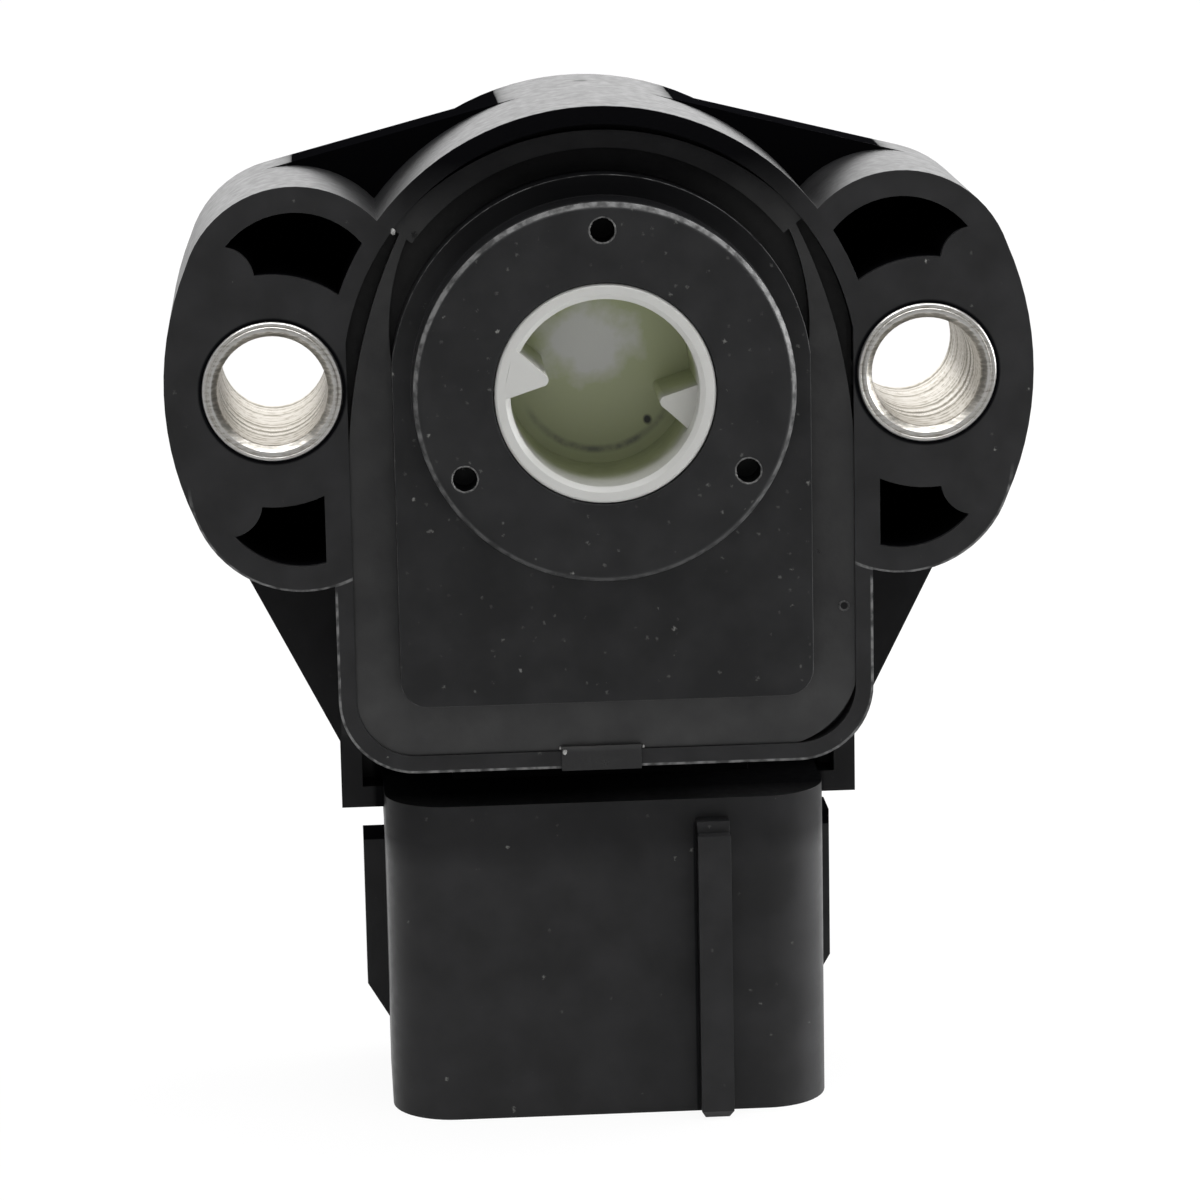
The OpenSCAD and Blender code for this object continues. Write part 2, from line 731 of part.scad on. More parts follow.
// One drive tab, from the sleeve's wall to its round point
module tab_outline() {
    root = socket_r + (sleeve_r - socket_r) / 2;
    tip = at(tab_tip_r + tab_round, tab_tip_deg);
    short = at(root, tab_short_deg);
    long = at(root, tab_long_deg);
    r = tab_round - point_lap;
    translate(tip) circle(tab_round);
    polygon([short, tip + at(r, touch_deg(tip, r, short, -1)), tip,
        tip + at(r, touch_deg(tip, r, long, 1)), long]);
}

module drive_rotor() {
    color(natural_resin) {
        difference() {
            union() {
                turned() polygon([[socket_r, boss_face + socket_chamfer],
                    [socket_r + socket_chamfer, boss_face],
                    [sleeve_r - sleeve_chamfer, boss_face],
                    [sleeve_r, boss_face + sleeve_chamfer], [sleeve_r, flange_y],
                    [rotor_flange_r, flange_y], [rotor_flange_r, flange_end],
                    [hub_r, flange_end], [hub_r, hub_end], [journal_r, hub_end],
                    [journal_r, bearing_end - end_play], [0, bearing_end - end_play],
                    [0, socket_end], [socket_r, socket_end]]);
                depth(flange_y, flange_end) ring_sector(rotor_flange_r - 1, lug_r,
                    lug_rest_deg - lug_half_deg, lug_rest_deg + lug_half_deg);
                depth(boss_face, socket_end + past) tab_outline();
                depth(boss_face + tab_second_step, socket_end + past)
                    rotate(180) tab_outline();
                depth(hub_end - past, hub_end + 1.6 * wiper_t) wiper_pins(wiper_pin_r);
            }
            translate([0, 0, spring_r])
                depth(flange_y - past, flange_end + past) circle(spring_hole_r);
        }
    }
}

module thrust_washer() {
    color(plated_steel) turned() translate([sleeve_r + thrust_clear, cover_back])
        square([thrust_w, thrust_t]);
}

// A flat ring bent into three waves
module wave_washer() {
    waves = 3;
    n = 48;
    mid = hub_end + seat_gap + wave_t / 2;
    points = [for (edge = [[journal_r + 0.15, -1], [bearing_r - 0.2, -1], [bearing_r - 0.2, 1],
        [journal_r + 0.15, 1]], i = [0:n - 1]) let (a = 360 * i / n)
        [edge[0] * cos(a), mid + wave_rise * (1 - cos(waves * a)) / 2 + edge[1] * wave_t / 2,
            edge[0] * sin(a)]];
    color(spring_steel) polyhedron(points, [for (side = [0:3], i = [0:n - 1])
        let (j = (i + 1) % n, next = (side + 1) % 4)
        [side * n + i, side * n + j, next * n + j, next * n + i]], convexity = 6);
}

// The return spring: a leg in the rotor's flange, the coil, and a leg on the left stop
module return_spring() {
    steps = ceil(coil_deg / 15);
    leg = [[0, flange_y + 0.3, spring_r], [0, spring_front - 0.55 * spring_wire, spring_r]];
    coil = [for (i = [1:steps]) let (a = 90 + coil_deg * i / steps)
        [spring_r * cos(a), spring_front + (spring_back - spring_front) * i / steps,
            spring_r * sin(a)]];
    outer = [[leg_r * cos(leg_deg), spring_back, leg_r * sin(leg_deg)]];
    color(spring_steel) wire(concat(leg, coil, outer), spring_wire / 2, 6);
}

// A wire along a path that winds about the Y axis
module wire(path, r, sides) {
    n = len(path);
    rings = [for (i = [0:n - 1]) let (
        p = path[i],
        along = unit(path[min(i + 1, n - 1)] - path[max(i - 1, 0)]),
        up = unit(cross([p[0], 0, p[2]], along)),
        out = cross(along, up))
        for (s = [0:sides - 1]) let (a = 360 * s / sides) p + r * (cos(a) * out + sin(a) * up)];
    polyhedron(rings, concat(
        [[for (s = [sides - 1:-1:0]) s]],
        [for (i = [0:n - 2], s = [0:sides - 1]) let (t = (s + 1) % sides)
            [i * sides + s, i * sides + t, (i + 1) * sides + t, (i + 1) * sides + s]],
        [[for (s = [0:sides - 1]) (n - 1) * sides + s]]), convexity = 10);
}

function unit(v) = v / norm(v);

module wiper_pins(r) {
    for (a = [210, 330]) rotate(a) translate([wiper_pin_circle, 0]) circle(r);
}

// The wiper: a sheet ring staked to the hub, with an arm and four sprung fingers
module wiper_contact() {
    tip = track_front - seat_gap;
    back = hub_end + wiper_t;
    arm_top = resistor_in + track_w;
    color(copper_alloy) rotate([0, 90 - wiper_rest_deg, 0]) {
        depth(hub_end, back) difference() {
            union() {
                circle(wiper_out);
                translate([finger_start - 1, wiper_in]) square([1.1, arm_top - wiper_in]);
            }
            circle(wiper_in);
            rotate(90 - wiper_rest_deg) wiper_pins(wiper_pin_r + insert_gap);
        }
        for (inner = [collector_in, resistor_in], share = [0.22, 0.78]) {
            r = inner + share * track_w;
            translate([0, 0, sqrt(r * r - finger_reach * finger_reach) - finger_w / 2])
                linear_extrude(finger_w) polygon([[finger_start, hub_end],
                    [finger_start + 0.4, hub_end], [finger_reach - 0.1, tip - wiper_t],
                    [finger_reach + 0.5, tip - 0.7], [finger_reach + 0.6, tip - 0.5],
                    [finger_reach, tip], [finger_start + 0.3, back], [finger_start, back]]);
        }
    }
}

module element_board() {
    color(board_tan) depth(board_front, cavity_floor) difference() {
        d_shape(board_r, board_r, board_drop, 1);
        circle(bearing_r + 0.15);
    }
}

module printed(tint) {
    color(tint) depth(track_front, board_front) children();
}

module solder_pad(place) {
    translate([place * terminal_pitch - blade_w / 2, -pad_bottom]) square([blade_w, pad_h]);
}

module resistor_track() {
    printed(carbon_black) ring_sector(resistor_in, resistor_in + track_w, track_from, track_to);
}

// The collector runs round under the hub and then straight down to the middle pad
module collector_track() {
    printed(silver_ink) {
        ring_sector(collector_in, collector_in + track_w, track_from, 276);
        translate([-track_w / 2, -pad_bottom]) square([track_w, pad_bottom - collector_in - 0.3]);
        solder_pad(0);
    }
}

// A conductor from one end of the resistor to an outer pad, drawn for the right
module outer_conductor(from) {
    middle = resistor_in + track_w / 2;
    turn = acos(terminal_pitch / (resistor_in + track_w));
    ring_sector(resistor_in, resistor_in + track_w, -turn - 4, from);
    translate([terminal_pitch - track_w / 2, -pad_bottom])
        square([track_w, pad_bottom - middle * sin(turn) + 0.3]);
    solder_pad(1);
}

module supply_track() printed(silver_ink) mirror([1, 0]) outer_conductor(180 - track_to);
module ground_track() printed(silver_ink) outer_conductor(track_from);

// One flat blade with a tapered point
module terminal(place) {
    half = blade_w / 2;
    point = blade_w / 2 - 0.35 * blade_taper;
    color(copper_alloy) translate([place * terminal_pitch, 0, 0])
        depth(shroud_mid - blade_t / 2, shroud_mid + blade_t / 2)
        polygon([[-half, -blade_top_drop], [half, -blade_top_drop],
            [half, blade_taper - blade_tip_drop], [point, -blade_tip_drop],
            [-point, -blade_tip_drop], [-half, blade_taper - blade_tip_drop]]);
}

module terminal_supply() terminal(-1);
module terminal_signal() terminal(0);
module terminal_ground() terminal(1);

// The bent strip that is welded to a blade and lies on a pad of the board
module clip(place) {
    near = shroud_mid + blade_t / 2;
    far = track_front;
    low = -blade_top_drop - 2;
    bend = -blade_top_drop + 0.8;
    foot = -pad_bottom + pad_h - 0.2;
    color(copper_alloy) translate([place * terminal_pitch - clip_w / 2, 0, 0])
        rotate([90, 0, 90]) linear_extrude(clip_w)
        polygon([[near, low], [near, bend], [far - clip_t, bend + 0.4], [far - clip_t, foot],
            [far, foot], [far, bend + 0.1], [near + clip_t, bend - 0.3], [near + clip_t, low]]);
}

module clip_supply() clip(-1);
module clip_signal() clip(0);
module clip_ground() clip(1);

module terminal_potting() {
    color(potting_grey) difference() {
        seal_well();
        for (place = [-1, 0, 1]) blade_slot(place);
    }
}

housing();
limiter_left();
limiter_right();
cover_plate();
potting_bead();
drive_rotor();
thrust_washer();
wave_washer();
return_spring();
wiper_contact();
element_board();
resistor_track();
collector_track();
supply_track();
ground_track();
terminal_supply();
terminal_signal();
terminal_ground();
clip_supply();
clip_signal();
clip_ground();
terminal_potting();
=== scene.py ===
# %% [markdown]
# A throttle position sensor sits on the side of an engine's throttle body and tells how far
# the throttle is open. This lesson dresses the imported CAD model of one: a black moulded
# housing, two plated sleeves in its ears, a grey bead of epoxy and a milky drive socket.
# The CAD model is a fixed frame. Nothing in it is moved, so every new piece is made from
# the frame's own numbers or from a copy of one of its meshes.

# %% Load the frame
import math

import bpy
from mathutils import Matrix, Vector


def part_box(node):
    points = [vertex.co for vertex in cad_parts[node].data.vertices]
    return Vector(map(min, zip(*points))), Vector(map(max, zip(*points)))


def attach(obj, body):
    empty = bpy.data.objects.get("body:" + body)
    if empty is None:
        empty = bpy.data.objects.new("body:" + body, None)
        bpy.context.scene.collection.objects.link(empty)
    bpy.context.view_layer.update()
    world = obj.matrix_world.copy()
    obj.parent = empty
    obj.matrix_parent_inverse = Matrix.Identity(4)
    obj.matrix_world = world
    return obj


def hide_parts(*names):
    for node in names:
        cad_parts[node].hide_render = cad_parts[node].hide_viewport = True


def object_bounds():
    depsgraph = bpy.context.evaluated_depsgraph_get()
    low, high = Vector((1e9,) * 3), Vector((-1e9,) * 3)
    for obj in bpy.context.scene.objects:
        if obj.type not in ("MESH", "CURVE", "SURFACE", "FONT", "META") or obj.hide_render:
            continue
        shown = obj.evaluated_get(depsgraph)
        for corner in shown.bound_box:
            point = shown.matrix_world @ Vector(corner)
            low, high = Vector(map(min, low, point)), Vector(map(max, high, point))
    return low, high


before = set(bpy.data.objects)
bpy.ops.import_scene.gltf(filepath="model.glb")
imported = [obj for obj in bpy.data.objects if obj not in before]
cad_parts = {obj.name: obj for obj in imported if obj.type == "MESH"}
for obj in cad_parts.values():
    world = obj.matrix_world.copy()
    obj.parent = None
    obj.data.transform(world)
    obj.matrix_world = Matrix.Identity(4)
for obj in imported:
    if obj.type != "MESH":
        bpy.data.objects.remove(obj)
cad_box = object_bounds()
MM = 0.001
print("CAD box in mm:", [[round(v / MM, 2) for v in corner] for corner in cad_box])

# %% [markdown]
# The photograph looks at the mounting face from a little above and from the left. A camera
# can be placed by its angles round a target, which is how a photographer would note it
# down. The small roll turns the sensor in the picture the way the photograph shows it.
# A long lens from a good distance keeps the round boss round.

# %% Camera angles
CAMERA_AZIMUTH = -3.38
CAMERA_ELEVATION = 12.44
CAMERA_ROLL = 1.14
CAMERA_DISTANCE = 270 * MM
CAMERA_LENS = 138.5
CAMERA_SEES = (5 * MM, 20)
CAMERA_TARGET = Vector((-0.32, 0, -12.89)) * MM


def camera_axes(azimuth, elevation, roll):
    """Right, up and back of a camera that looks at its target, turned by its roll."""
    a, e, r = (math.radians(v) for v in (azimuth, elevation, roll))
    back = Vector((math.sin(a) * math.cos(e), -math.cos(a) * math.cos(e), math.sin(e)))
    level = Vector((math.cos(a), math.sin(a), 0))
    right = level * math.cos(r) - back.cross(level) * math.sin(r)
    return right, back.cross(right), back


# %% Add the camera
def add_camera():
    right, up, back = camera_axes(CAMERA_AZIMUTH, CAMERA_ELEVATION, CAMERA_ROLL)
    bpy.ops.object.camera_add()
    camera = bpy.context.object
    camera.name = "photo_camera"
    camera.data.lens = CAMERA_LENS
    camera.data.clip_start, camera.data.clip_end = CAMERA_SEES
    turn = Matrix((right, up, back)).transposed().to_4x4()
    camera.matrix_world = Matrix.Translation(CAMERA_TARGET + back * CAMERA_DISTANCE) @ turn
    bpy.context.scene.camera = camera
    return camera


print("camera at", [round(v, 3) for v in add_camera().matrix_world.translation])

# %% [markdown]
# Materials are small graphs of nodes. Each helper below adds one kind of node and gives
# back its output, so that a finish reads like a recipe. Patterns are laid on Object
# coordinates, turned into millimetres, because a pattern's size is then easy to judge: a
# noise scale of 5 makes grains of about a fifth of a millimetre. A value that is even over
# the whole surface is set on the shader's own socket.

# %% Node helpers: a material and its coordinates in millimetres
def start_material(name, color, roughness, metallic=0.0, specular=0.5):
    material = bpy.data.materials.new(name)
    material.use_nodes = True
    shader = material.node_tree.nodes["Principled BSDF"]
    shader.inputs["Base Color"].default_value = (*color, 1)
    shader.inputs["Roughness"].default_value = roughness
    shader.inputs["Metallic"].default_value = metallic
    shader.inputs["Specular IOR Level"].default_value = specular
    return material, material.node_tree, shader


def place_in_mm(tree, centre=(0, 0, 0), stretch=(1, 1, 1)):
    """Object coordinates in millimetres from a centre, stretched along each axis."""
    coordinates = tree.nodes.new("ShaderNodeTexCoord")
    mapping = tree.nodes.new("ShaderNodeMapping")
    mapping.inputs["Scale"].default_value = [s / MM for s in stretch]
    mapping.inputs["Location"].default_value = [-c * s for c, s in zip(centre, stretch)]
    tree.links.new(coordinates.outputs["Object"], mapping.inputs["Vector"])
    return mapping.outputs["Vector"]


def split_axes(tree, place):
    """The X, Y and Z of a place, as three outputs."""
    parts = tree.nodes.new("ShaderNodeSeparateXYZ")
    tree.links.new(place, parts.inputs[0])
    return tuple(parts.outputs)


# %% Node helpers: sums, patterns and their spread
def feed(tree, socket, value):
    """Links a node's output to a socket, or sets a plain number on it."""
    if isinstance(value, (int, float)):
        socket.default_value = value
    else:
        tree.links.new(value, socket)


def add_math(tree, operation, first, second=0.0):
    node = tree.nodes.new("ShaderNodeMath")
    node.operation = operation
    feed(tree, node.inputs[0], first)
    feed(tree, node.inputs[1], second)
    return node.outputs[0]


def chain(tree, operation, values):
    """Runs one operation through a list of values, from the first to the last."""
    result, *rest = values
    for value in rest:
        result = add_math(tree, operation, result, value)
    return result


def multiply(tree, *values):
    return chain(tree, "MULTIPLY", values)


def largest(tree, *values):
    return chain(tree, "MAXIMUM", values)


def add_noise(tree, place, scale, detail=3.0):
    node = tree.nodes.new("ShaderNodeTexNoise")
    node.inputs["Scale"].default_value = scale
    node.inputs["Detail"].default_value = detail
    tree.links.new(place, node.inputs["Vector"])
    return node.outputs[0]


def spread(tree, value, source, target):
    """Maps a value from one span of numbers to another, and keeps it inside the second."""
    node = tree.nodes.new("ShaderNodeMapRange")
    for socket, number in zip(node.inputs[1:5], (*source, *target)):
        socket.default_value = number
    tree.links.new(value, node.inputs["Value"])
    return node.outputs["Result"]


def between(tree, value, low, high, soft=0.05):
    """1 between two places and 0 outside them, with soft ends."""
    return multiply(tree, spread(tree, value, (low - soft, low), (0, 1)),
                    spread(tree, value, (high, high + soft), (1, 0)))


def distance_squared(tree, first, second, centre):
    """The square of the distance from a centre, across two directions."""
    offsets = [add_math(tree, "SUBTRACT", v, c) for v, c in zip((first, second), centre)]
    return add_math(tree, "ADD", *(multiply(tree, o, o) for o in offsets))


# %% Node helpers: colour and relief
def add_ramp(tree, value, stops):
    """Colours along a value, given as (position, (red, green, blue)) stops."""
    node = tree.nodes.new("ShaderNodeValToRGB")
    elements = node.color_ramp.elements
    while len(elements) < len(stops):
        elements.new(0.5)
    for element, (position, color) in zip(elements, stops):
        element.position = position
        element.color = (*color, 1)
    tree.links.new(value, node.inputs["Fac"])
    return node.outputs["Color"]


def blend_color(tree, share, first, second):
    """Blends a colour output with a plain colour by a mask."""
    node = tree.nodes.new("ShaderNodeMix")
    node.data_type = "RGBA"
    tree.links.new(share, node.inputs["Factor"])
    tree.links.new(first, node.inputs["A"])
    node.inputs["B"].default_value = (*second, 1)
    return node.outputs["Result"]


def add_relief(tree, shader, height, depth_mm, strength):
    """Raises the surface by a height from 0 to 1, with the depth in millimetres."""
    node = tree.nodes.new("ShaderNodeBump")
    node.inputs["Strength"].default_value = strength
    node.inputs["Distance"].default_value = depth_mm * MM
    tree.links.new(height, node.inputs["Height"])
    tree.links.new(node.outputs["Normal"], shader.inputs["Normal"])


# %% [markdown]
# Dust and bright glass ends lie scattered over the front of the real sensor. They could be
# modelled one by one, but they are smaller than a tenth of a millimetre. Voronoi cells
# give a scatter of centres instead: a speck shows where the surface passes close to a
# centre, and the cell's random colour picks the few cells that get one.

# %% Specks
def add_specks(tree, place, spacing_mm, size_mm, share):
    """A mask of scattered ragged specks, up to 1 on a speck and 0 between them."""
    cells = tree.nodes.new("ShaderNodeTexVoronoi")
    cells.inputs["Scale"].default_value = 1 / spacing_mm
    tree.links.new(place, cells.inputs["Vector"])
    parts = tree.nodes.new("ShaderNodeSeparateColor")
    tree.links.new(cells.outputs["Color"], parts.inputs["Color"])
    edge = size_mm / spacing_mm
    ragged = spread(tree, add_noise(tree, place, 9, 2), (0.3, 0.7), (-0.6 * edge, 0.6 * edge))
    far = add_math(tree, "ADD", cells.outputs["Distance"], ragged)
    near = spread(tree, far, (0.4 * edge, edge), (1, 0))
    picked = spread(tree, parts.outputs[0], (1 - share, 1), (0, 1))
    return multiply(tree, near, picked)


# %% [markdown]
# The floor is a wide pale sheet at the level that the sensor stands on, and it is also the
# background. The photograph's background is plain white. More light would bleach the
# sensor, so the sheet and the air shine white only to the camera and in reflections, which
# the Light Path node tells apart. A share of the sheet stays ordinary paper, so that the
# sensor's shadow still falls on it. Reflections are white only behind the sensor. In front
# of it the room is dim, as behind a photographer, which keeps the front faces dark.

# %% What the camera and reflections see
def seen_directly(tree, share):
    """The share for camera, glossy and transmission rays, and 0 for the rest."""
    path = tree.nodes.new("ShaderNodeLightPath")
    rays = largest(tree, path.outputs["Is Camera Ray"], path.outputs["Is Glossy Ray"],
                   path.outputs["Is Transmission Ray"])
    return multiply(tree, rays, share)


def show_to_rays(tree, share, plain, white, output):
    """Shows white to the rays that see it directly, and the plain shader to the rest."""
    mix = tree.nodes.new("ShaderNodeMixShader")
    tree.links.new(seen_directly(tree, share), mix.inputs["Fac"])
    tree.links.new(plain, mix.inputs[1])
    tree.links.new(white, mix.inputs[2])
    tree.links.new(mix.outputs["Shader"], output.inputs["Surface"])


# %% Floor
FLOOR_SIZE = 12.0
FLOOR_LEVEL = cad_box[0][2]
WHITE_SHARE = 0.92
DIM_FRONT = 0.3
FLOOR_FADE_MM = (-30, 40)


def dim_in_front(tree, along, fade):
    """Brightness for each ray: white to the camera, and to reflections only behind."""
    path = tree.nodes.new("ShaderNodeLightPath")
    behind = spread(tree, along, fade, (DIM_FRONT, 1))
    return largest(tree, path.outputs["Is Camera Ray"], behind)


def white_paper():
    material, tree, shader = start_material("white_paper", (0.86, 0.86, 0.86), 0.9)
    glow = tree.nodes.new("ShaderNodeEmission")
    _, y, _ = split_axes(tree, place_in_mm(tree))
    tree.links.new(dim_in_front(tree, y, FLOOR_FADE_MM), glow.inputs["Strength"])
    show_to_rays(tree, WHITE_SHARE, shader.outputs["BSDF"], glow.outputs["Emission"],
                 tree.nodes["Material Output"])
    return material


def add_floor():
    bpy.ops.object.select_all(action="DESELECT")
    bpy.ops.mesh.primitive_plane_add(size=FLOOR_SIZE, location=(0, 0, FLOOR_LEVEL))
    floor = bpy.context.object
    floor.name = "pale_floor"
    floor.data.materials.append(white_paper())
    return floor


print("floor at", round(add_floor().location.z / MM, 2), "mm")

# %% [markdown]
# The photograph is lit the way small products usually are: a wide soft light above and
# behind, which draws the white shine along the tops of the ears and the body, and only
# weak light from the front, so the front faces stay dark. Soft boxes do that here. The
# one at the back starts above the camera's view and reaches far to both sides, because
# a round top mirrors a wide piece of the room. A narrow strip draws the bright line on the
# boss's chamfer, and a small box at the right lights the shroud's right corner, which is
# softly brighter in the photograph.

# %% Light
WORLD_STRENGTH = 0.5
WORLD_FADE = (-0.5, 0.3)
LAMP_TARGET = Vector((0, 0, -0.01))
SOFT_BOXES = {
    "top_box": {"place": (0, 0.05, 0.55), "size": (0.9, 0.6), "watts": 2.2},
    "edge_strip": {"place": (0, -0.14, 0.5), "size": (0.7, 0.07), "watts": 1.2},
    "back_box": {"place": (0.25, 0.62, 0.3), "size": (2.6, 0.56), "watts": 6.5},
    "right_box": {"place": (0.5, 0.08, -0.02), "size": (0.4, 0.5), "watts": 8.0}}


def add_soft_box(name, box):
    bpy.ops.object.light_add(type="AREA", location=box["place"])
    lamp = bpy.context.object
    lamp.name = name
    lamp.data.shape = "RECTANGLE"
    lamp.data.size, lamp.data.size_y = box["size"]
    lamp.data.energy = box["watts"]
    aim = LAMP_TARGET - Vector(box["place"])
    lamp.rotation_euler = aim.to_track_quat("-Z", "Y").to_euler()
    return lamp


def add_air():
    """An even pale world, white to the camera and in reflections."""
    world = bpy.data.worlds.new("studio_air")
    world.use_nodes = True
    tree = world.node_tree
    dim = tree.nodes["Background"]
    dim.inputs["Color"].default_value = (1, 1, 1, 1)
    dim.inputs["Strength"].default_value = WORLD_STRENGTH
    white = tree.nodes.new("ShaderNodeBackground")
    white.inputs["Color"].default_value = (1, 1, 1, 1)
    coordinates = tree.nodes.new("ShaderNodeTexCoord")
    _, y, _ = split_axes(tree, coordinates.outputs["Generated"])
    tree.links.new(dim_in_front(tree, y, WORLD_FADE), white.inputs["Strength"])
    show_to_rays(tree, 1.0, dim.outputs["Background"], white.outputs["Background"],
                 tree.nodes["World Output"])
    bpy.context.scene.world = world


add_air()
for name, box in SOFT_BOXES.items():
    print(add_soft_box(name, box).name, box["watts"], "W")
bpy.context.scene.view_settings.view_transform = "Standard"

# %% [markdown]
# The housing and the cover are black nylon with glass fibre. Moulded nylon isn't one flat
# black: the fibres leave a fine matt grain, the sheen drifts from place to place, and
# light specks of glass and dust catch the light. A flat black would look like a drawing,
# so the colour and the roughness both follow slow noise, and the grain is a shallow
# relief.

# %% Moulded plastic
PLASTIC_SHINE = 0.18
# Painted shade: the black that the shade masks blend in.
PAINTED_SHADE_BLACK = (0.0025, 0.0025, 0.003)
# Painted highlight: the pale grey of the edge lines.
EDGE_HIGHLIGHT_GREY = (0.15, 0.15, 0.15)
SPECK_COLOR = (0.2, 0.2, 0.19)
SPECK_SPACING, SPECK_SIZE = 1.0, 0.13
FLECK_SPACING, FLECK_SIZE, FLECK_STRENGTH = 0.6, 0.11, 0.35


def moulded_plastic(name, dark, light, speck_share, shade):
    """Black nylon. Shade gives two masks, painted shade and a painted edge highlight, from X, Y,
    Z in mm.
    """
    material, tree, shader = start_material(name, dark, 0.38, specular=PLASTIC_SHINE)
    place = place_in_mm(tree)
    drift = add_noise(tree, place, 0.35, 4)
    color = add_ramp(tree, drift, [(0.35, dark), (0.7, light)])
    painted_shade, wear_and_highlight = shade(tree, *split_axes(tree, place))
    ragged = spread(tree, add_noise(tree, place, 1.7, 5), (0.38, 0.6), (0.15, 1))
    unshaded = spread(tree, painted_shade, (0, 0.6), (1, 0))
    specks = add_specks(tree, place, SPECK_SPACING, SPECK_SIZE, speck_share)
    specks = multiply(tree, specks, unshaded)
    flecks = add_specks(tree, place, FLECK_SPACING, FLECK_SIZE, speck_share)
    flecks = multiply(tree, flecks, FLECK_STRENGTH, unshaded)
    # Painted shade deepens the black, and a painted highlight lightens the edges.
    for mask, tone in ((painted_shade, PAINTED_SHADE_BLACK), (multiply(tree, wear_and_highlight, ragged), EDGE_HIGHLIGHT_GREY),
                       (specks, SPECK_COLOR), (flecks, SPECK_COLOR)):
        color = blend_color(tree, mask, color, tone)
    tree.links.new(color, shader.inputs["Base Color"])
    # The painted shade also takes the shine, which hides the reflections there.
    shine = spread(tree, painted_shade, (0, 1), (PLASTIC_SHINE, 0))
    tree.links.new(shine, shader.inputs["Specular IOR Level"])
    matt = spread(tree, add_noise(tree, place, 1.6, 3), (0.3, 0.7), (0.33, 0.42))
    tree.links.new(matt, shader.inputs["Roughness"])
    height = add_math(tree, "ADD", add_noise(tree, place, 7, 3), specks)
    add_relief(tree, shader, height, 0.02, 0.14)
    return material


# %% [markdown]
# The black isn't the same everywhere. Painted shade makes the pockets and the webs behind
# the ears nearly lost in the dark, and darkens the neck, the tops of the side rails and the
# foot of the key rib. The upper part of the rim and of the cover is almost black too, as
# painted shade that grows towards the top. The round mark where the plastic ran in is real,
# and its dark is painted shade of a hollow. A dark line also runs round each sleeve. Each is
# a mask made from the place on the sensor, and it deepens the colour and takes the shine. A
# second mask paints highlights along the edges: the front edge of the housing, and the edges
# of the boss and the cover plate. Noise breaks these lines up. A pair of numbers below is the
# span over which a mask fades. The masks of the webs, the neck and the key rib's foot are made
# for the front and have no end at the back, so from behind the same painted shade lies on the
# back of the body and of the shroud.

# %% Places on the housing, in millimetres
FLANGE_FRONT = 10.1
WEB_TOP_INNER, WEB_TOP_OUTER, WEB_TOP_SOFT = 5.2, 17.5, 1.2
WEB_LOW_SIDE = (15.6, 15.7)
NECK_DEPTH, NECK_TOP, NECK_SIDE = (1, 5), (-23.2, -22.9), (13.6, 13.9)
SHROUD_TOP = (-29.5, -28)
RIM_RISE, RIM_SIDE, RIM_FRONT = (8.5, 13), (11, 13), (0.15, 0.3)
RAIL_TOP, RAIL_SIDE, RAIL_FRONT = -30.5, (13, 13.1), (12.5, 13)
POCKET_FRONT, POCKET_FLOOR = 0.5, 12.5
SCREW_X = 19
EAR_CORNER, EAR_R = (17.5, 5.3), 6.55
CORNER_CENTRE, CORNER_R = (11.25, -18.5), 4.5
KEY_LEFT, KEY_TOP = 5.225, -26.8
GATE, GATE_LEVEL = (-0.1, 14), (15, 15.2)
FACE_FRONT = (0.3, 0.4)


# %% Where the housing gets a painted edge highlight
def painted_edge_highlight(tree, side, y, z):
    """A painted highlight on the body's outer front edge below the ears, and on the ears' lower
    front edges.
    """
    past_side = largest(tree, side, CORNER_CENTRE[0])
    past_low = add_math(tree, "MINIMUM", z, CORNER_CENTRE[1])
    body = multiply(
        tree, between(tree, distance_squared(tree, past_side, past_low, CORNER_CENTRE),
                      CORNER_R ** 2 - 1.2, CORNER_R ** 2 + 0.3, 0.2),
        spread(tree, z, (-12.2, -11.9), (1, 0)))
    low_corner = (EAR_CORNER[0], -EAR_CORNER[1])
    ear = multiply(
        tree, between(tree, distance_squared(tree, side, z, low_corner),
                      EAR_R ** 2 - 1.5, EAR_R ** 2 + 0.4, 0.3),
        spread(tree, z, (-7, -5.5), (0.85, 0)))
    return multiply(tree, spread(tree, y, FACE_FRONT, (1, 0)), largest(tree, body, ear))


# %% Where painted shade deepens the housing's black
def web_mask(tree, side, y, z):
    """Painted shade on the webs and all that lies behind them, with the lower ends more weakly.
    """
    upper = multiply(tree, spread(tree, z, (-1, 1), (0, 1)),
                     between(tree, side, WEB_TOP_INNER, WEB_TOP_OUTER, WEB_TOP_SOFT))
    lower = multiply(tree, spread(tree, z, (-6, -4), (0.55, 0)),
                     spread(tree, side, WEB_LOW_SIDE, (0, 1)))
    behind = spread(tree, y, (FLANGE_FRONT - 0.1, FLANGE_FRONT), (0, 1))
    return multiply(tree, largest(tree, upper, lower), behind)


def neck_mask(tree, side, y, z):
    """Painted shade on the neck between the body and the shroud, weaker past the body's sides."""
    return multiply(tree, spread(tree, y, NECK_DEPTH, (0, 0.9)),
                    spread(tree, z, NECK_TOP, (1, 0)), spread(tree, side, NECK_SIDE, (1, 0.35)))


def rim_mask(tree, side, y, z):
    """Painted shade on the front of the rim, rising towards the top."""
    return multiply(tree, spread(tree, z, RIM_RISE, (0, 0.97)),
                    spread(tree, side, RIM_SIDE, (1, 0)), spread(tree, y, RIM_FRONT, (1, 0)))


def rail_mask(tree, side, y, z):
    """Painted shade on the tops of the side rails."""
    return multiply(tree, between(tree, z, RAIL_TOP - 0.1, RAIL_TOP + 1),
                    spread(tree, side, RAIL_SIDE, (0, 1)), spread(tree, y, RAIL_FRONT, (0, 1)))


